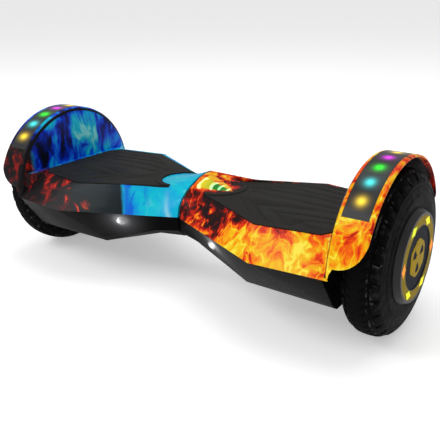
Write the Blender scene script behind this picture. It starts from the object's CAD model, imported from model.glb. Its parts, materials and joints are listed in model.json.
"""Looks of the self-balancing board: printed shells, grooved pads, treaded tyres and lamps."""

import json
import math

import bmesh
import bpy
import numpy as np
from mathutils import Matrix, Vector

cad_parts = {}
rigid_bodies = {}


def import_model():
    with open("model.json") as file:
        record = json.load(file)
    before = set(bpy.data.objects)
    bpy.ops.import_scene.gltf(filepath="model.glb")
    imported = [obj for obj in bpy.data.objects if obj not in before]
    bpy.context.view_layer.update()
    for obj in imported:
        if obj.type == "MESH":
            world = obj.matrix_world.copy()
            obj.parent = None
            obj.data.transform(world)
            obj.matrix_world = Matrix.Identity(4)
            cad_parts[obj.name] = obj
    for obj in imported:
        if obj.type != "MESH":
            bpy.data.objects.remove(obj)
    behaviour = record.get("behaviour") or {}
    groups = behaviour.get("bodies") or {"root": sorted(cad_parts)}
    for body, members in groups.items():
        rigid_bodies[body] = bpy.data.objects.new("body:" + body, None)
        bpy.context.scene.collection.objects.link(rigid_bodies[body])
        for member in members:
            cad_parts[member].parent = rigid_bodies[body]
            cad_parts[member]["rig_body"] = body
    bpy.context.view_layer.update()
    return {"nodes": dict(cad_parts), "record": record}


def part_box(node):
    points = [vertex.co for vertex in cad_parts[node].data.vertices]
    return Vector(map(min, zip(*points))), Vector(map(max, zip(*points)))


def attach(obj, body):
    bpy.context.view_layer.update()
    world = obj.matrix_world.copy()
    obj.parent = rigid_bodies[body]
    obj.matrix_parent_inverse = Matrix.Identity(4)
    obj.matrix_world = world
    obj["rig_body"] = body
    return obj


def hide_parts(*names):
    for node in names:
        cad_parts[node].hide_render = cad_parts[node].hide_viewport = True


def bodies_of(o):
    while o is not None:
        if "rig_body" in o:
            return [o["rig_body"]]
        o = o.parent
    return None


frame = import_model()

MM = 0.001
SIDES = {"left": -1, "right": 1}

# ------------------------------------------------------------------ places taken from the frame


def centre(node):
    low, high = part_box(node)
    return (low + high) / 2


def half_height(node):
    low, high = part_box(node)
    return (high.z - low.z) / 2


AXLE_Z = centre("right_tyre").z
TYRE_R = half_height("right_tyre")
RIM_R = half_height("right_rotor_ring")
TYRE_X = centre("right_tyre").x
TYRE_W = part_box("right_tyre")[1].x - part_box("right_tyre")[0].x
WALL_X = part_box("right_bottom_shell")[1].x
ARCH_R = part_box("right_fender_light")[1].z - AXLE_Z
ARCH_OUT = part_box("right_top_shell")[1].x
PAD_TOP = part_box("right_foot_pad")[1].z - 1 * MM
SPLIT_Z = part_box("right_top_shell")[0].z
LENS_X = centre("right_fender_light").x
HUB_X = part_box("right_hub_cap")[1].x
RING_OUT = half_height("right_hub_light")
BADGE_R = half_height("right_hub_badge")
LAMP = centre("right_headlight")
WALL = 2.6 * MM
MEDAL_R = BADGE_R * 0.62

# ------------------------------------------------------------------ shader building


class Field:
    """A number worked out by shader nodes. Arithmetic on it adds Math nodes."""

    def __init__(self, paint, socket):
        self.paint, self.socket = paint, socket

    def __add__(self, other):
        return self.paint.calc("ADD", self, other)

    def __radd__(self, other):
        return self.paint.calc("ADD", other, self)

    def __sub__(self, other):
        return self.paint.calc("SUBTRACT", self, other)

    def __rsub__(self, other):
        return self.paint.calc("SUBTRACT", other, self)

    def __mul__(self, other):
        return self.paint.calc("MULTIPLY", self, other)

    def __truediv__(self, other):
        return self.paint.calc("DIVIDE", self, other)

    def __neg__(self):
        return self.paint.calc("MULTIPLY", self, -1.0)

    def abs(self):
        return self.paint.calc("ABSOLUTE", self)

    def power(self, p):
        return self.paint.calc("POWER", self, p)

    def floor(self):
        return self.paint.calc("FLOOR", self)

    def fract(self):
        return self.paint.calc("FRACT", self)

    def least(self, other):
        return self.paint.calc("MINIMUM", self, other)

    def most(self, other):
        return self.paint.calc("MAXIMUM", self, other)

    def bell(self, width):
        """1 where the field is 0, dying away over width."""
        return self.paint.calc("EXPONENT", -((self / width) * (self / width)))

    def step(self, low, high):
        """0 below low, 1 above high, smooth in between. low may be the larger, which turns it round."""
        node = self.paint.add("ShaderNodeMapRange", interpolation_type="SMOOTHSTEP", clamp=True)
        for socket, value in zip(node.inputs, (self, low, high, 0.0, 1.0)):
            self.paint.feed(socket, value)
        return Field(self.paint, node.outputs[0])


class Paint:
    """One procedural material on a Principled shader."""

    def __init__(self, name, **fixed):
        self.mat = bpy.data.materials.new(name)
        self.mat.use_nodes = True
        self.tree = self.mat.node_tree
        self.tree.nodes.clear()
        self.bsdf = self.add("ShaderNodeBsdfPrincipled")
        out = self.add("ShaderNodeOutputMaterial")
        self.tree.links.new(self.bsdf.outputs[0], out.inputs[0])
        self.place = self.add("ShaderNodeTexCoord").outputs["Object"]
        split = self.add("ShaderNodeSeparateXYZ")
        self.tree.links.new(self.place, split.inputs[0])
        self.x, self.y, self.z = (Field(self, socket) for socket in split.outputs)
        for key, value in fixed.items():
            self.bsdf.inputs[key.replace("_", " ")].default_value = value

    def add(self, kind, **settings):
        node = self.tree.nodes.new(kind)
        for key, value in settings.items():
            setattr(node, key, value)
        return node

    def feed(self, socket, value):
        if isinstance(value, Field):
            value = value.socket
        if isinstance(value, bpy.types.NodeSocket):
            self.tree.links.new(value, socket)
        else:
            socket.default_value = value

    def calc(self, operation, a, b=0.0):
        node = self.add("ShaderNodeMath", operation=operation)
        self.feed(node.inputs[0], a)
        self.feed(node.inputs[1], b)
        return Field(self, node.outputs[0])

    def stretched(self, x=1.0, y=1.0, z=1.0, turn=(0, 0, 0), by=None):
        """The object's coordinates, scaled and turned, and moved by another vector."""
        node = self.add("ShaderNodeMapping")
        self.feed(node.inputs["Vector"], by or self.place)
        node.inputs["Scale"].default_value = (x, y, z)
        node.inputs["Rotation"].default_value = turn
        return node.outputs[0]

    def warped(self, scale, amount, by=None):
        """The object's coordinates pushed about by noise."""
        cloud = self.add("ShaderNodeTexNoise")
        self.feed(cloud.inputs["Vector"], by or self.place)
        cloud.inputs["Scale"].default_value = scale
        cloud.inputs["Detail"].default_value = 3
        centred = self.add("ShaderNodeVectorMath", operation="SUBTRACT")
        self.tree.links.new(cloud.outputs["Color"], centred.inputs[0])
        centred.inputs[1].default_value = (0.5, 0.5, 0.5)
        push = self.add("ShaderNodeVectorMath", operation="SCALE")
        self.tree.links.new(centred.outputs[0], push.inputs[0])
        push.inputs["Scale"].default_value = amount
        moved = self.add("ShaderNodeVectorMath", operation="ADD")
        self.feed(moved.inputs[0], by or self.place)
        self.tree.links.new(push.outputs[0], moved.inputs[1])
        return moved.outputs[0]

    def noise(self, scale, detail=4, rough=0.55, twist=0.0, by=None):
        node = self.add("ShaderNodeTexNoise")
        self.feed(node.inputs["Vector"], by or self.place)
        for key, value in (("Scale", scale), ("Detail", detail), ("Roughness", rough), ("Distortion", twist)):
            node.inputs[key].default_value = value
        return Field(self, node.outputs["Fac"])

    def ridge(self, scale, sharp, detail=2, by=None):
        """Thin bright threads where a noise crosses its middle value."""
        return (1.0 - ((self.noise(scale, detail, by=by) - 0.5) * 4.0).abs()).most(0.0).power(sharp)

    def ramp(self, field, *stops, stepped=False):
        """A colour read off a list of (place, colour) stops."""
        node = self.add("ShaderNodeValToRGB")
        ramp = node.color_ramp
        ramp.interpolation = "CONSTANT" if stepped else "LINEAR"
        while len(ramp.elements) < len(stops):
            ramp.elements.new(0.5)
        for element, (place, colour) in zip(ramp.elements, stops):
            element.position = place
            element.color = (*colour, 1)
        self.feed(node.inputs[0], field)
        return node.outputs[0]

    def mix(self, field, a, b):
        """Colour a where the field is 0, colour b where it is 1."""
        node = self.add("ShaderNodeMix", data_type="RGBA")
        self.feed(node.inputs[0], field)
        # the mixer's two colour sockets share their names with its other kinds
        for socket, value in ((node.inputs[6], a), (node.inputs[7], b)):
            self.feed(socket, (*value, 1) if isinstance(value, tuple) else value)
        return node.outputs[2]

    def colour(self, value):
        self.feed(self.bsdf.inputs["Base Color"], (*value, 1) if isinstance(value, tuple) else value)

    def rough(self, value):
        self.feed(self.bsdf.inputs["Roughness"], value)

    def glow(self, colour, strength):
        self.feed(self.bsdf.inputs["Emission Color"], (*colour, 1) if isinstance(colour, tuple) else colour)
        self.feed(self.bsdf.inputs["Emission Strength"], strength)

    def bump(self, height, distance):
        node = self.add("ShaderNodeBump")
        node.inputs["Distance"].default_value = distance
        self.feed(node.inputs["Height"], height)
        self.tree.links.new(node.outputs[0], self.bsdf.inputs["Normal"])


# ------------------------------------------------------------------ materials

# near-black of a face that the print leaves out
UNPRINTED = (0.004, 0.004, 0.005)


def from_axle(paint):
    """Distance from the wheels' axis."""
    dz = paint.z - AXLE_Z
    return (paint.y * paint.y + dz * dz).power(0.5)


def shell_finish(paint, colour):
    """Satin lacquer over the print. The hollow of the arch isn't printed."""
    paint.colour(paint.mix(inside_arch(paint), colour, UNPRINTED))
    paint.rough(0.24 + paint.noise(400, 2) * 0.16)
    paint.bump(paint.noise(900, 2), 0.00008)
    return paint.mat


def lit_flames(paint, heat):
    """Black smoke through red and orange to pale yellow."""
    return paint.ramp(
        heat, (0.0, (0.012, 0.004, 0.004)), (0.16, (0.05, 0.004, 0.003)), (0.3, (0.34, 0.006, 0.002)),
        (0.43, (0.72, 0.03, 0.003)), (0.56, (0.86, 0.14, 0.003)), (0.7, (0.86, 0.34, 0.003)),
        (0.86, (0.84, 0.52, 0.004)), (1.0, (0.9, 0.74, 0.06)))


def inside_arch(paint):
    """1 on the arch's inner face, short of a band along its lip where the print wraps round."""
    out = paint.x.abs()
    deep = from_axle(paint).step(ARCH_R - WALL * 0.6, ARCH_R - WALL * 0.9)
    return deep * out.step(ARCH_OUT - 7 * MM, ARCH_OUT - 9 * MM) * out.step(WALL_X + 1 * MM, WALL_X + 2 * MM)


def fire_print():
    """Flames on the right half: smoky at the waist, yellow towards the wheel."""
    paint = Paint("fire_print", Specular_IOR_Level=0.08, Coat_Weight=0.03, Coat_Roughness=0.1)
    flow = paint.warped(16, 0.05)
    fine = paint.warped(55, 0.012, by=flow)
    licks = paint.noise(36, 8, 0.68, 0.9, by=paint.stretched(1.0, 1.0, 0.62, by=fine))
    blots = paint.noise(13, 3, 0.5, 0.4, by=flow)
    threads = paint.ridge(34, 12, by=paint.stretched(1.3, 1.0, 0.5, turn=(0, 0.5, 0), by=fine))
    scorch = paint.ridge(21, 5, by=paint.stretched(1.0, 1.0, 0.7, turn=(0.3, 0.2, 0.9), by=fine))
    toward_wheel = paint.x.step(0.05, 0.2)
    low_down = paint.z.step(PAD_TOP, SPLIT_Z + 6 * MM)
    front = paint.y.step(0.01, -0.03)
    on_crest = paint.x.step(0.075, 0.03) * paint.z.step(PAD_TOP - 4 * MM, PAD_TOP + 3 * MM)
    on_tongue = paint.x.step(WALL_X, WALL_X + 8 * MM) * paint.y.step(-0.05, -0.08)
    base = 0.16 + toward_wheel * 0.46 + low_down * (0.4 - toward_wheel * 0.22) * front + on_crest * 0.42
    base = base + on_tongue * (paint.z.step(AXLE_Z + 45 * MM, AXLE_Z) * 0.24 - 0.02)
    back = paint.y.step(0.0, 0.07) * paint.x.step(0.2, 0.26)
    pad_edge = paint.z.step(PAD_TOP - 14 * MM, PAD_TOP) * paint.x.step(WALL_X, WALL_X - 20 * MM)
    base = base - back * 0.3 - pad_edge * (1.0 - on_crest) * 0.1
    heat = base + (licks - 0.5) * 2.3 + (blots - 0.5) * 1.3 + threads * 0.34
    heat = heat - scorch * (0.34 - toward_wheel * 0.24)
    return shell_finish(paint, lit_flames(paint, heat))


def ice_print():
    """The left half: blue wisps on the arch wall, cyan at the waist, then slate and dark embers."""
    paint = Paint("ice_print", Specular_IOR_Level=0.08, Coat_Weight=0.03, Coat_Roughness=0.1)
    away = -paint.x
    flow = paint.warped(14, 0.05)
    wisps = paint.noise(30, 5, 0.6, 0.8, by=paint.stretched(1.0, 1.3, 0.45, by=flow))
    blots = paint.noise(16, 3, 0.5, 0.3, by=flow)
    threads = paint.ridge(24, 8, by=paint.stretched(1.0, 1.5, 0.3, by=flow))
    on_wall = away.step(WALL_X - 12 * MM, WALL_X - 6 * MM) * paint.z.step(PAD_TOP - 4 * MM, PAD_TOP)
    near_waist = away.step(0.115, 0.07)
    bright_band = paint.y.step(-0.01, 0.035) * paint.y.step(0.09, 0.06)
    on_deck = 0.66 + near_waist * 0.04 + (wisps - 0.5) * (1.2 - near_waist * 0.7)
    on_deck = on_deck + (blots - 0.5) * 0.6 + threads * 0.08
    on_arch = 0.3 + bright_band * 0.1 + (wisps - 0.5) * 2.4
    on_arch = on_arch + (blots - 0.5) * 1.8 + threads * (0.08 + bright_band * 0.3)
    cold = on_deck * (1.0 - on_wall) + on_arch * on_wall
    blue = paint.ramp(
        cold, (0.0, (0.002, 0.003, 0.012)), (0.2, (0.002, 0.01, 0.16)), (0.34, (0.002, 0.03, 0.52)),
        (0.5, (0.004, 0.13, 0.7)), (0.66, (0.002, 0.34, 0.66)), (0.84, (0.004, 0.5, 0.62)),
        (1.0, (0.2, 0.66, 0.68)))
    on_fender = away.step(WALL_X - 4 * MM, WALL_X + 4 * MM)
    coals = paint.noise(42, 5, 0.62, 0.8, by=flow)
    warmth = 0.36 - on_fender * 0.22 + on_fender * paint.z.step(AXLE_Z + 4 * MM, AXLE_Z - 12 * MM) * 0.26
    embers = paint.ramp(
        warmth + (coals - 0.5) * 2.4 + (blots - 0.5) * 0.8, (0.0, (0.006, 0.005, 0.006)),
        (0.3, (0.012, 0.006, 0.007)), (0.48, (0.09, 0.006, 0.007)), (0.66, (0.42, 0.014, 0.008)),
        (0.86, (0.8, 0.1, 0.01)))
    slate = paint.mix(paint.z.step(PAD_TOP - 20 * MM, PAD_TOP), (0.006, 0.012, 0.014), (0.009, 0.018, 0.023))
    height = paint.z - SPLIT_Z
    edge = away + (wisps - 0.5) * 0.008 - height * 0.55
    on_front = paint.y.step(-0.035, -0.06) * (1.0 - on_wall)
    to_slate = edge.step(0.065, 0.071) * on_front
    to_embers = (away + (coals - 0.5) * 0.12).step(0.125, 0.155) * on_front
    seam = (edge - 0.062).bell(5 * MM) * on_front
    strokes = paint.noise(26, 4, 0.6, 0.9, by=paint.stretched(1.2, 1.0, 0.4, turn=(0, -0.5, 0), by=flow))
    strokes = strokes.step(0.52, 0.6) * edge.step(0.03, 0.045) * on_front
    on_nose = paint.y.step(-ARCH_R * 0.68, -ARCH_R * 0.8) * away.step(WALL_X - 6 * MM, WALL_X)
    blue = paint.mix((seam * 0.8).most(strokes * 0.85), blue, (0.004, 0.09, 0.62))
    sheen = (away - 0.008 - height * 0.6).bell(3.5 * MM) * paint.z.step(PAD_TOP, SPLIT_Z)
    blue = paint.mix(sheen * 0.5, blue, (0.55, 0.8, 0.8))
    colour = paint.mix(to_slate, blue, slate)
    colour = paint.mix(to_embers.most(on_nose), colour, embers)
    rim_dark = away.step(WALL_X + 2 * MM, WALL_X + 7 * MM) * paint.y.step(-0.04, -0.09)
    colour = paint.mix(rim_dark * 0.6 * (1.0 - on_nose), colour, (0.01, 0.01, 0.014))
    return shell_finish(paint, colour)


def black_plastic(name, tone, rough, lamp_halo=0.0, shine=0.06):
    """Satin moulded plastic with a fine grain and faint scuffs. A lamp's halo can lie on it."""
    paint = Paint(name, Specular_IOR_Level=shine)
    scuffs = paint.ridge(90, 14, by=paint.stretched(1.0, 1.0, 4.0))
    cloud = paint.noise(25, 3)
    light = tuple(t * 1.5 + 0.001 for t in tone)
    paint.colour(paint.mix((cloud - 0.5) * 1.2 + 0.4 + scuffs * 0.25, tone, light))
    paint.rough(rough + (cloud - 0.5) * 0.18 - scuffs * 0.08)
    paint.bump(paint.noise(1100, 3), 0.00012)
    if lamp_halo:
        dx, dy, dz = paint.x.abs() - LAMP.x, paint.y - LAMP.y, paint.z - LAMP.z
        spread = (dx * dx + dy * dy + dz * dz).power(0.5)
        halo = spread.bell(9 * MM) * lamp_halo + spread.bell(26 * MM) * lamp_halo * 0.16
        paint.glow((0.95, 0.96, 1.0), halo)
    return paint.mat


def hub_paint():
    """Grey enamel on the hub's cone. Its foot, which the tyre laps over, is black."""
    paint = Paint("hub_paint", Specular_IOR_Level=0.1)
    cloud = paint.noise(25, 3)
    foot = from_axle(paint).step(RIM_R - 4 * MM, RIM_R - 3.4 * MM)
    grey = paint.mix(cloud, (0.02, 0.02, 0.021), (0.038, 0.038, 0.04))
    paint.colour(paint.mix(foot, grey, (0.003, 0.003, 0.003)))
    paint.rough(0.32 + (cloud - 0.5) * 0.18)
    paint.bump(paint.noise(1100, 3), 0.00012)
    return paint.mat


def metal(name, tone, rough, brushed=(1, 1, 1), grain=0.00004):
    """Machined or cast metal with a directional grain and dull patches."""
    paint = Paint(name, Metallic=0.95)
    lines = paint.noise(260, 3, by=paint.stretched(*brushed))
    dull = paint.noise(30, 3)
    paint.colour(paint.mix(dull, tuple(t * 0.72 for t in tone), tone))
    paint.rough(rough + (dull - 0.5) * 0.3 + (lines - 0.5) * 0.12)
    paint.bump(lines, grain)
    return paint.mat


def tyre_rubber():
    """Matt black rubber, paler on the tread and rubbed grey along the edges of its blocks."""
    paint = Paint("tyre_rubber", Specular_IOR_Level=0.03)
    tread = from_axle(paint).step(TYRE_R - 7 * MM, TYRE_R - 1 * MM)
    cloud = paint.noise(45, 4, 0.6)
    speck = paint.noise(700, 3, 0.7)
    tone = paint.mix(tread * 0.5 + (cloud - 0.5) * 0.7, (0.001, 0.001, 0.0012), (0.0045, 0.0045, 0.005))
    worn = paint.add("ShaderNodeAttribute", attribute_name="worn")
    rubbed = Field(paint, worn.outputs["Fac"]) * paint.noise(110, 3, 0.6).step(0.5, 0.68)
    paint.colour(paint.mix(rubbed, tone, (0.12, 0.12, 0.12)))
    paint.rough(0.55 + tread * 0.22 + (cloud - 0.5) * 0.2)
    paint.bump(speck + paint.noise(180, 2) * 0.5, 0.0002)
    return paint.mat


def pad_rubber():
    """Charcoal moulded rubber with a fine stipple, a little worn in the middle."""
    paint = Paint("pad_rubber", Specular_IOR_Level=0.1)
    worn = paint.noise(18, 4, 0.6)
    stipple = paint.add("ShaderNodeTexVoronoi")
    stipple.inputs["Scale"].default_value = 1400
    paint.tree.links.new(paint.place, stipple.inputs["Vector"])
    paint.colour(paint.mix((worn - 0.35) * 1.6, (0.013, 0.0125, 0.0115), (0.027, 0.026, 0.0245)))
    paint.rough(0.62 + (worn - 0.5) * 0.25)
    paint.bump(Field(paint, stipple.outputs["Distance"]), 0.00025)
    return paint.mat


# lamps under the arch's lens; the pitch is in degrees round the axle
LAMP_COLOURS = ((1.0, 0.68, 0.03), (0.05, 0.75, 0.75), (0.01, 0.9, 0.01), (0.72, 0.02, 0.75))
LAMP_COUNT = 8
LAMP_PITCH = 12.5


def smoked_lens():
    """Dark lens on the arch. The lamps under it show as soft coloured spots."""
    paint = Paint("smoked_lens", Specular_IOR_Level=0.12, Coat_Weight=0.04, Coat_Roughness=0.08)
    turn = paint.calc("ARCTAN2", paint.z - AXLE_Z, -paint.y) * (180 / math.pi)
    first = 90 - LAMP_COUNT * LAMP_PITCH / 2
    count = (turn - first) / LAMP_PITCH
    along = (count.fract() - 0.5) * (LAMP_PITCH * math.pi / 180 * ARCH_R)
    across = paint.x.abs() - LENS_X
    # the spots are wider on the left arch
    narrowing = 0.55 + paint.x.step(-0.1, 0.1) * 0.45
    spot = (along * along + across * across * narrowing).power(0.5)
    real = count.step(0.0, 0.01) * count.step(LAMP_COUNT, LAMP_COUNT - 0.01)
    colours = len(LAMP_COLOURS)
    shown = (count.floor() / float(colours)).fract() + 0.05
    tint = paint.ramp(shown, *((k / colours, c) for k, c in enumerate(LAMP_COLOURS)), stepped=True)
    cloud = paint.noise(40, 3)
    paint.colour(paint.mix(cloud, (0.022, 0.022, 0.023), (0.04, 0.04, 0.042)))
    paint.rough(0.3 + (cloud - 0.5) * 0.2)
    paint.glow(tint, (spot.bell(5.0 * MM) * 1.25 + spot.bell(8.0 * MM) * 0.3) * real)
    return paint.mat


# lit arcs of the status light going away from the joint, in millimetres:
# middle x, middle y, half-length, half-width
ARCS = ((8, -12.5, 14, 3.2), (27, -10.5, 12, 2.6), (39, -9.5, 9.5, 2.2), (51, -8.5, 7, 2.0))
ARC_BEND = 28.0
ARC_SLANT = 0.2


def status_lens():
    """Clear cover over flame print, with four lit arcs that get smaller away from the joint."""
    paint = Paint("status_lens", Specular_IOR_Level=0.15, Coat_Weight=0.1, Coat_Roughness=0.06)

    def bent(middle_y):
        """Distance in front of an arc's middle, and x straightened along the arc."""
        ahead = middle_y * MM - paint.y
        return ahead, paint.x - ahead * ahead * ARC_BEND - ahead * ARC_SLANT

    bars = 0.0
    for x, y, reach, half in ARCS:
        down, run = bent(y)
        length = down.abs().step((reach + 1.5) * MM, (reach - 1) * MM)
        bars = (run - x * MM).abs().step(half * MM * 1.3, half * MM * 0.6) * length + bars
    bars = bars.least(1.0)
    down, run = bent(ARCS[1][1])
    flow = paint.warped(30, 0.03)
    licks = paint.noise(60, 4, 0.6, by=flow)
    flames = lit_flames(paint, 0.62 + (licks - 0.5) * 2.0)
    between = paint.ramp(
        run / 0.06 + (licks - 0.5) * 0.2, (0.0, (0.6, 0.42, 0.004)), (0.2, (0.72, 0.6, 0.006)),
        (0.4, (0.45, 0.5, 0.01)), (0.47, (0.004, 0.22, 0.008)), (0.75, (0.006, 0.24, 0.01)),
        (0.9, (0.4, 0.36, 0.01)))
    inside = down.abs().step(15 * MM - run * 0.15, 12 * MM - run * 0.15)
    inside = inside * run.step(4 * MM, 7 * MM) * run.step(56 * MM, 53 * MM)
    paint.colour(paint.mix(inside, flames, between))
    tint = paint.mix(paint.noise(90, 2), (0.3, 0.9, 0.3), (0.75, 1.0, 0.65))
    paint.glow(paint.mix(bars, between, tint), bars * 0.95 + inside * 0.06)
    paint.rough(0.2 + paint.noise(200, 2) * 0.12)
    return paint.mat


# windows of the hub's ring, in order round it
WINDOW_COLOURS = (
    (1.0, 0.2, 0.03), (0.75, 0.9, 0.02), (0.9, 0.9, 0.02),
    (1.0, 0.16, 0.03), (0.9, 0.85, 0.03), (0.6, 0.9, 0.03))


def hub_ring():
    """Olive-gold plastic ring with six windows that glow yellow, green and orange."""
    paint = Paint("gold_lens", Specular_IOR_Level=0.01)
    windows = len(WINDOW_COLOURS)
    turn = paint.calc("ARCTAN2", paint.z - AXLE_Z, paint.y) / (2 * math.pi) + 0.5
    count = turn * float(windows) + 0.5
    middle = RING_OUT - 5.6 * MM
    off_middle = from_axle(paint) - middle
    along = (count.fract() - 0.5) * (2 * math.pi / windows * middle)
    # a window is a diamond with hollow sides, longer along the ring
    pinch = 0.8
    star = (along.abs() * 0.62).power(pinch) + off_middle.abs().power(pinch)
    lit = star.step((9.0 * MM) ** pinch, (4.0 * MM) ** pinch)
    shown = (count.floor() / float(windows)).fract() + 0.04
    tint = paint.ramp(shown, *((k / windows, c) for k, c in enumerate(WINDOW_COLOURS)), stepped=True)
    cloud = paint.noise(60, 3)
    paint.colour(paint.mix(cloud, (0.13, 0.09, 0.001), (0.26, 0.18, 0.002)))
    paint.rough(0.3 + (cloud - 0.5) * 0.2)
    paint.glow(paint.mix(lit, (0.2, 0.13, 0.0), tint), lit * 1.1 + 0.25)
    return paint.mat


# the medal's edge has three shallow lobes, and its petals lie at this share of its radius
LOBE = 0.07
PETAL_AT = 0.52
PETAL_TURN = math.pi / 6


def badge_paint():
    """Gold medal on a near-black disc; the petals are filled with the disc's colour."""
    paint = Paint("badge_paint", Specular_IOR_Level=0.01)
    cloud = paint.noise(120, 4)
    radius = from_axle(paint)
    turn = paint.calc("ARCTAN2", paint.z - AXLE_Z, paint.y)
    lobe = paint.calc("COSINE", turn * 3.0)
    edge = (1.0 - lobe * lobe * LOBE) * MEDAL_R
    on_medal = (radius / edge).step(1.01, 0.99)
    petal = paint.calc("COSINE", (turn - PETAL_TURN) * 3.0).most(0.0)
    sunk = petal.step(0.35, 0.6) * (radius / edge - PETAL_AT).abs().step(0.28, 0.2)
    gold = paint.mix(cloud, (0.26, 0.17, 0.004), (0.46, 0.31, 0.012))
    disc = paint.mix(cloud, (0.003, 0.004, 0.009), (0.007, 0.009, 0.018))
    paint.colour(paint.mix(on_medal * (1.0 - sunk), disc, gold))
    paint.rough(0.36 + (cloud - 0.5) * 0.25)
    paint.bump(cloud, 0.0001)
    return paint.mat


def clear_lens():
    """Headlight: frosted white lens, brightest in the middle."""
    paint = Paint("clear_lens", Specular_IOR_Level=0.5)
    dx, dz = paint.x.abs() - LAMP.x, paint.z - LAMP.z
    hot = (dx * dx + dz * dz).power(0.5).bell(3.6 * MM)
    paint.colour((0.2, 0.2, 0.21))
    paint.rough(0.3 + paint.noise(300, 2) * 0.2)
    paint.glow((1.0, 1.0, 1.0), 0.12 + hot * 1.3)
    return paint.mat


def board(name, tone, traces):
    """Lacquered circuit board with fine tracks."""
    paint = Paint(name, Specular_IOR_Level=0.5)
    bricks = paint.add("ShaderNodeTexBrick")
    bricks.inputs["Scale"].default_value = 160
    bricks.inputs["Mortar Size"].default_value = 0.03
    paint.tree.links.new(paint.place, bricks.inputs["Vector"])
    paint.colour(paint.mix(Field(paint, bricks.outputs["Fac"]), tone, traces))
    paint.rough(0.35 + paint.noise(80, 2) * 0.2)
    return paint.mat


def weave(name, tone, light, scale, rough):
    """Braided or wound surface, such as a cable jacket, copper wire or shrink wrap."""
    paint = Paint(name, Specular_IOR_Level=0.45)
    wave = paint.add("ShaderNodeTexWave")
    wave.inputs["Scale"].default_value = scale
    wave.inputs["Distortion"].default_value = 0.6
    paint.tree.links.new(paint.place, wave.inputs["Vector"])
    lines = Field(paint, wave.outputs["Fac"])
    paint.colour(paint.mix(lines * 0.7 + paint.noise(50, 2) * 0.3, tone, light))
    paint.rough(rough + (lines - 0.5) * 0.15)
    paint.bump(lines, 0.00015)
    return paint


COPPER = weave("copper_wire", (0.32, 0.11, 0.04), (0.75, 0.34, 0.16), 420, 0.34)
COPPER.bsdf.inputs["Metallic"].default_value = 0.9

FINISH = {
    "decal_fire": fire_print(),
    "decal_ice": ice_print(),
    "black_plastic": black_plastic(
        "black_plastic", (0.0012, 0.0012, 0.0014), 0.3, lamp_halo=0.4, shine=0.015),
    "grey_plastic": black_plastic("grey_plastic", (0.03, 0.03, 0.032), 0.4),
    "pad_rubber": pad_rubber(),
    "tyre_rubber": tyre_rubber(),
    "smoked_lens": smoked_lens(),
    "led_board": board("led_board", (0.01, 0.01, 0.011), (0.03, 0.03, 0.028)),
    "clear_lens": clear_lens(),
    "status_lens": status_lens(),
    "gold_lens": hub_ring(),
    "badge_plastic": badge_paint(),
    "grey_metal": hub_paint(),
    "black_metal": metal("black_metal", (0.05, 0.05, 0.055), 0.45),
    "cast_aluminium": metal("cast_aluminium", (0.62, 0.63, 0.65), 0.5, grain=0.0001),
    "bright_steel": metal("bright_steel", (0.72, 0.72, 0.73), 0.22, (0.2, 1, 1)),
    "dark_steel": metal("dark_steel", (0.22, 0.22, 0.24), 0.38, (1, 0.2, 1)),
    "bronze": metal("bronze", (0.6, 0.38, 0.16), 0.35),
    "white_nylon": black_plastic("white_nylon", (0.5, 0.48, 0.42), 0.5),
    "copper_wire": COPPER.mat,
    "cable_jacket": weave("cable_jacket", (0.01, 0.01, 0.011), (0.03, 0.03, 0.032), 900, 0.5).mat,
    "battery_wrap": weave("battery_wrap", (0.01, 0.05, 0.16), (0.02, 0.09, 0.26), 60, 0.3).mat,
    "green_board": board("green_board", (0.006, 0.1, 0.035), (0.03, 0.24, 0.09)),
}

# every CAD node takes the finish that its record slot names
SLOT_OF = {part["node"]: part["material_slot"] for part in frame["record"]["subparts"]}
for name, obj in frame["nodes"].items():
    for holder in obj.material_slots:
        holder.material = FINISH[SLOT_OF[name]]

# ------------------------------------------------------------------ mesh helpers


def new_piece(name, bm, body, slot, *replaced, smooth=35):
    """Finishes a mesh as a piece that rides on a body."""
    mesh = bpy.data.meshes.new(name)
    bm.to_mesh(mesh)
    bm.free()
    obj = bpy.data.objects.new(name, mesh)
    bpy.context.collection.objects.link(obj)
    mesh.materials.append(FINISH[slot])
    mesh.shade_smooth()
    mesh.set_sharp_from_angle(angle=math.radians(smooth))
    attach(obj, body)
    if replaced:
        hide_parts(*replaced)
    return obj


def body_of(node):
    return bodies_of(frame["nodes"][node])[0]


def cad_mesh(node):
    """A CAD node's mesh with its split vertices joined and its flat faces made whole."""
    bm = bmesh.new()
    bm.from_mesh(frame["nodes"][node].data)
    bmesh.ops.remove_doubles(bm, verts=bm.verts, dist=0.01 * MM)
    bmesh.ops.dissolve_limit(bm, angle_limit=math.radians(0.6), verts=bm.verts, edges=bm.edges)
    return bm


def softened(name, node, width, sharper_than=38):
    """A CAD node remade with small rounds on its sharp edges."""
    slot = SLOT_OF[node]
    obj = new_piece(name, cad_mesh(node), body_of(node), slot, node, smooth=sharper_than)
    round_off = obj.modifiers.new("round_off", "BEVEL")
    round_off.width = width
    round_off.segments = 2
    round_off.limit_method = "ANGLE"
    round_off.angle_limit = math.radians(sharper_than)
    round_off.harden_normals = True
    even = obj.modifiers.new("even", "WEIGHTED_NORMAL")
    even.keep_sharp = True
    return obj


# ------------------------------------------------------------------ tyres

TREAD_BLOCKS = 27
# shares of the tyre's half-width: the middles of the two grooves round it, and where its sipes end
RING_AT = 0.52
SIPE_END = 0.44
RING_DEPTH = 3.0 * MM
LATERAL_DEPTH = 3.2 * MM
SIPE_DEPTH = 1.5 * MM


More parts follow.
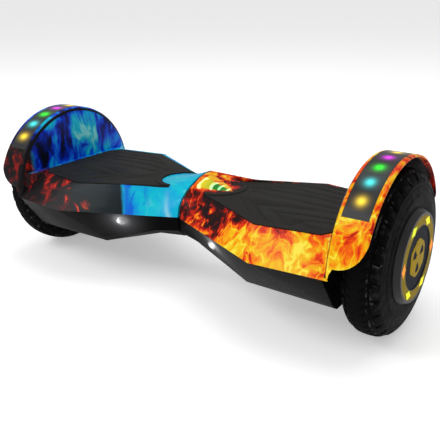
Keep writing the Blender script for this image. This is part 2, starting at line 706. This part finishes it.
def tyre_mesh(s):
    """Tyre with cut grooves: two round the tread, one per block over each shoulder, and sipes."""
    around, across = TREAD_BLOCKS * 30, 92
    turn = np.linspace(0, 2 * math.pi, around, endpoint=False)[:, None]
    part = np.radians(np.linspace(1, 179, across))[None, :]
    shoulder = 0.7
    radius = RIM_R + (TYRE_R - RIM_R) * np.sin(part) ** shoulder + 0 * turn
    along = -TYRE_W / 2 * np.abs(np.cos(part)) ** shoulder * np.sign(np.cos(part)) + 0 * turn
    place = along / (TYRE_W / 2)
    phase = (turn / (2 * math.pi) * TREAD_BLOCKS) % 1
    arc = (phase - 0.5) * 2 * math.pi * TYRE_R / TREAD_BLOCKS

    def cut(distance, half_width):
        return np.clip(1.6 - np.abs(distance) / half_width, 0, 1)

    outward = np.abs(place)
    ringed = cut((outward - RING_AT) * TYRE_W / 2, 1.8 * MM)
    slanted = arc - (outward - 0.75) * 10 * MM * np.sign(place)
    lateral = cut(slanted, 2.0 * MM) * np.clip((outward - RING_AT - 0.01) / 0.02, 0, 1)
    lateral = lateral * np.clip((0.985 - outward) / 0.04, 0, 1)
    wave = np.abs((place * 5.2) % 2 - 1) * 4.4 * MM
    half_pitch = math.pi * TYRE_R / TREAD_BLOCKS
    sipe = cut((arc + wave + 3 * MM + half_pitch / 2) % half_pitch - half_pitch / 2, 0.7 * MM)
    sipe = sipe * (outward < SIPE_END) * (1 - cut(place * TYRE_W / 2, 4 * MM))
    on_tread = np.clip((radius - (TYRE_R - 13 * MM)) / (5 * MM), 0, 1)
    depths = [ringed * RING_DEPTH, lateral * LATERAL_DEPTH, sipe * SIPE_DEPTH]
    depth = np.maximum.reduce(depths) * on_tread
    # a shallow step in the side wall
    step = np.clip((radius - (RIM_R + 12 * MM)) / (1.2 * MM), 0, 1)
    step = step * np.clip((RIM_R + 25 * MM - radius) / (1.2 * MM), 0, 1)
    inward = 0.9 * MM * step * (outward > 0.7)
    along = along - np.sign(place) * inward
    radius = radius - depth
    # the inner bead reaches the rim, the outer one laps over it with a lip that meets the hub's cone
    column = np.ones((around, 1))
    face, under, lip_r = TYRE_W / 2 - 1 * MM, TYRE_W / 2 - 3 * MM, RIM_R - 3.6 * MM
    lip = [(face, lip_r), (under, lip_r), (under, RIM_R)]
    along = np.hstack([-column * face, along] + [column * x for x, _ in lip])
    radius = np.hstack([column * RIM_R, radius] + [column * r for _, r in lip])
    # a block's edge is where a groove is about a millimetre deep
    rubbed = np.exp(-((depth / MM - 1.1) / 0.7) ** 2) * (outward > SIPE_END)
    glint = np.hstack([0 * column, rubbed] + [0 * column for _ in lip])
    co = np.stack([s * (TYRE_X + along), radius * np.cos(turn), AXLE_Z + radius * np.sin(turn)], -1)
    bm = bmesh.new()
    worn = bm.verts.layers.float.new("worn")
    rows = [[bm.verts.new(p) for p in row] for row in co]
    for row, values in zip(rows, glint):
        for vert, value in zip(row, values):
            vert[worn] = value
    for i, row in enumerate(rows):
        after = rows[(i + 1) % around]
        for j in range(len(row) - 1):
            bm.faces.new((row[j], row[j + 1], after[j + 1], after[j]))
        bm.faces.new((row[-1], row[0], after[0], after[-1]))
    bmesh.ops.recalc_face_normals(bm, faces=bm.faces)
    return bm


for side, s in SIDES.items():
    new_piece(f"{side}_tyre_tread", tyre_mesh(s), f"{side}_wheel", "tyre_rubber", f"{side}_tyre", smooth=50)

# ------------------------------------------------------------------ shells


def paint_inside_black(obj, s):
    """The wheel's side of the arch and the hollow of the shell aren't printed."""
    obj.data.materials.append(FINISH["black_plastic"])
    for face in obj.data.polygons:
        c = face.center
        out = s * c.x - WALL_X
        radius = math.hypot(c.y, c.z - AXLE_Z)
        faces_wheel = s * face.normal.x > 0.7 and WALL / 2 < out < ARCH_OUT - WALL_X - 1 * MM
        in_hollow = face.normal.z < -0.5 and radius < ARCH_R - 3 * MM and c.z > SPLIT_Z + 1 * MM
        if faces_wheel or in_hollow:
            face.material_index = 1


for side, s in SIDES.items():
    shell = softened(f"{side}_printed_shell", f"{side}_top_shell", 0.9 * MM)
    paint_inside_black(shell, s)
    softened(f"{side}_lower_shell", f"{side}_bottom_shell", 1.2 * MM)
    softened(f"{side}_hub_cone", f"{side}_hub_cap", 0.8 * MM)

# ------------------------------------------------------------------ foot pads


def groove(path, width, depth, top, s):
    """Closed V-shaped cutter swept along a path in the pad's plane, thinner at both ends."""
    bm = bmesh.new()
    rings = []
    for i, point in enumerate(path):
        ahead = path[min(i + 1, len(path) - 1)] - path[max(i - 1, 0)]
        normal = Vector((-ahead.y, ahead.x)).normalized()
        taper = 0.35 + 0.65 * math.sin(math.pi * i / (len(path) - 1)) ** 0.5
        w, d = width * taper, depth * taper
        ring = [(point + normal * w * 1.6, 0.8 * MM), (point - normal * w * 1.6, 0.8 * MM), (point, -d)]
        rings.append([bm.verts.new((s * p.x, p.y, top + h)) for p, h in ring])
    for a, b in zip(rings, rings[1:]):
        for i in range(3):
            bm.faces.new((a[i], a[(i + 1) % 3], b[(i + 1) % 3], b[i]))
    bm.faces.new(rings[0])
    bm.faces.new(rings[-1])
    bmesh.ops.recalc_face_normals(bm, faces=bm.faces)
    return bm


def smooth_path(points, steps=7):
    """Points along a smooth curve through the given ones, in metres."""
    pts = [Vector(p) * MM for p in points]
    out = []
    for i in range(len(pts) - 1):
        before, after = pts[max(i - 1, 0)], pts[min(i + 2, len(pts) - 1)]
        a, b = pts[i], pts[i + 1]
        for k in range(steps):
            t = k / steps
            out.append(0.5 * (2 * a + (b - before) * t + (2 * before - 5 * a + 4 * b - after) * t * t
                              + (3 * a - before - 3 * b + after) * t ** 3))
    return out + [pts[-1]]


GROOVE_W = 0.9 * MM
GROOVE_D = 0.9 * MM
# grooves of one pad, in millimetres from the middle of the board
GROOVES = [
    [(84, 7), (120, 8), (165, 5), (205, 2), (234, 3)],
    [(117, -37), (135, -29), (165, -20), (200, -12), (234, -10)],
    [(119, -40), (131, -55), (146, -70), (163, -82)],
    [(153, -47), (170, -41), (195, -36), (218, -33), (234, -32)],
    [(155, -50), (167, -62), (178, -72), (188, -79)],
    [(194, -56), (205, -51), (220, -47), (233, -46)],
    [(194, -60), (201, -67), (212, -70), (224, -67)],
    [(76, 16), (100, 24), (130, 29), (165, 28), (200, 24), (234, 22)],
    [(92, 36), (115, 46), (145, 47), (180, 42), (212, 38), (234, 38)],
    [(118, 57), (135, 64), (160, 63), (190, 58), (222, 56)],
    [(78, -20), (95, -34), (108, -48), (120, -62)],
    [(160, 79), (176, 76), (196, 73), (212, 72)],
]


def cut_grooves(pad, s):
    """Cuts every groove out of a pad in one exact boolean."""
    cutters = bmesh.new()
    for points in GROOVES:
        part = groove(smooth_path(points), GROOVE_W, GROOVE_D, PAD_TOP, s)
        held = bpy.data.meshes.new("held")
        part.to_mesh(held)
        part.free()
        cutters.from_mesh(held)
        bpy.data.meshes.remove(held)
    mesh = bpy.data.meshes.new("cutters")
    cutters.to_mesh(mesh)
    cutters.free()
    tool = bpy.data.objects.new("cutters", mesh)
    bpy.context.collection.objects.link(tool)
    cut = pad.modifiers.new("cut", "BOOLEAN")
    cut.operation, cut.solver, cut.object = "DIFFERENCE", "EXACT", tool
    graph = bpy.context.evaluated_depsgraph_get()
    grooved = bpy.data.meshes.new_from_object(pad.evaluated_get(graph))
    pad.modifiers.remove(cut)
    pad.data = grooved
    bpy.data.objects.remove(tool)


for side, s in SIDES.items():
    node = f"{side}_foot_pad"
    pad = new_piece(f"{side}_grooved_pad", cad_mesh(node), f"{side}_pad", "pad_rubber", node)
    cut_grooves(pad, s)
    pad.data.set_sharp_from_angle(angle=math.radians(35))

# ------------------------------------------------------------------ hub badges


def badge_height(t, a, lift):
    """Height above the plate at a share t of the badge's radius: a domed medal with three sunk petals."""
    edge = MEDAL_R / BADGE_R * (1 - LOBE * math.cos(3 * a) ** 2)
    if t >= edge:
        return 0.0
    petal = max(0.0, math.cos(3 * (a - PETAL_TURN))) * math.exp(-(((t / edge - PETAL_AT) / 0.2) ** 2))
    return lift * (1 - (t / edge) ** 6 * 0.6) * (1 - 0.5 * petal)


def badge_mesh(s):
    """Round plate with the medal raised on its outer face."""
    bm = bmesh.new()
    around, rows = 120, 40
    low_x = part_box("right_hub_badge")[0].x
    plate = low_x + 1.0 * MM
    lift = HUB_X - plate - 0.1 * MM
    rings = []
    for j in range(1, rows + 1):
        ring = []
        r = BADGE_R * j / rows
        for i in range(around):
            a = 2 * math.pi * i / around
            x = plate + badge_height(j / rows, a, lift)
            ring.append(bm.verts.new((s * x, r * math.cos(a), AXLE_Z + r * math.sin(a))))
        rings.append(ring)
    rings.append([bm.verts.new((s * low_x, v.co.y, v.co.z)) for v in rings[-1]])
    top = bm.verts.new((s * (plate + lift), 0, AXLE_Z))
    for i in range(around):
        k = (i + 1) % around
        bm.faces.new((top, rings[0][i], rings[0][k]))
        for a, b in zip(rings, rings[1:]):
            bm.faces.new((a[i], b[i], b[k], a[k]))
    bm.faces.new(rings[-1])
    bmesh.ops.recalc_face_normals(bm, faces=bm.faces)
    return bm


for side, s in SIDES.items():
    new_piece(f"{side}_hub_medal", badge_mesh(s), f"{side}_wheel", "badge_plastic", f"{side}_hub_badge")

# ------------------------------------------------------------------ stage, light and camera


def lay_floor(half=30.0, grey=(0.9, 0.9, 0.9)):
    """A plain pale floor, faintly lit from within so that its far end stays even."""
    mesh = bpy.data.meshes.new("floor")
    corners = [(-half, -half, 0.0), (half, -half, 0.0), (half, half, 0.0), (-half, half, 0.0)]
    mesh.from_pydata(corners, [], [(0, 1, 2, 3)])
    obj = bpy.data.objects.new("floor", mesh)
    bpy.context.collection.objects.link(obj)
    paint = Paint("floor", Specular_IOR_Level=0.2)
    paint.colour(grey)
    paint.rough(0.7)
    paint.glow(grey, 0.4)
    mesh.materials.append(paint.mat)


def soft_light(name, place, size, power, target=(0, 0, 0.1)):
    """A round lamp that looks at the board."""
    data = bpy.data.lights.new(name, "AREA")
    data.shape, data.size, data.energy = "DISK", size, power
    obj = bpy.data.objects.new(name, data)
    bpy.context.collection.objects.link(obj)
    obj.location = place
    obj.rotation_euler = (Vector(target) - Vector(place)).to_track_quat("-Z", "Y").to_euler()


lay_floor()


soft_light("key", (-1.3, -1.6, 2.1), 1.4, 27)
soft_light("fill", (1.1, -2.4, 1.0), 1.6, 7)
soft_light("top", (0.1, 0.6, 2.4), 2.0, 20)

world = bpy.data.worlds.new("studio")
world.use_nodes = True
sky = world.node_tree.nodes["Background"]
sky.inputs["Color"].default_value = (1, 1, 1, 1)
sky.inputs["Strength"].default_value = 0.5
bpy.context.scene.world = world
bpy.context.scene.view_settings.view_transform = "Standard"

AZIMUTH, ELEVATION, ROLL = (math.radians(a) for a in (35.72, 20.65, -0.74))
CAMERA_AT = (0.53068, -0.69393, 0.41252)
LENS_LENGTH = 52.91


def place_camera():
    """Stands the camera where the photograph was taken from, tipped by its slight roll."""
    level = math.cos(ELEVATION)
    back = Vector((math.sin(AZIMUTH) * level, -math.cos(AZIMUTH) * level, math.sin(ELEVATION)))
    right = Vector((0, 0, 1)).cross(back).normalized()
    up = back.cross(right)
    tipped_right = right * math.cos(ROLL) + up * math.sin(ROLL)
    tipped_up = up * math.cos(ROLL) - right * math.sin(ROLL)
    data = bpy.data.cameras.new("camera")
    data.sensor_width = 36
    data.lens = LENS_LENGTH
    camera = bpy.data.objects.new("camera", data)
    bpy.context.collection.objects.link(camera)
    facing = Matrix((tipped_right, tipped_up, back)).transposed().to_4x4()
    camera.matrix_world = Matrix.Translation(CAMERA_AT) @ facing
    bpy.context.scene.camera = camera


place_camera()
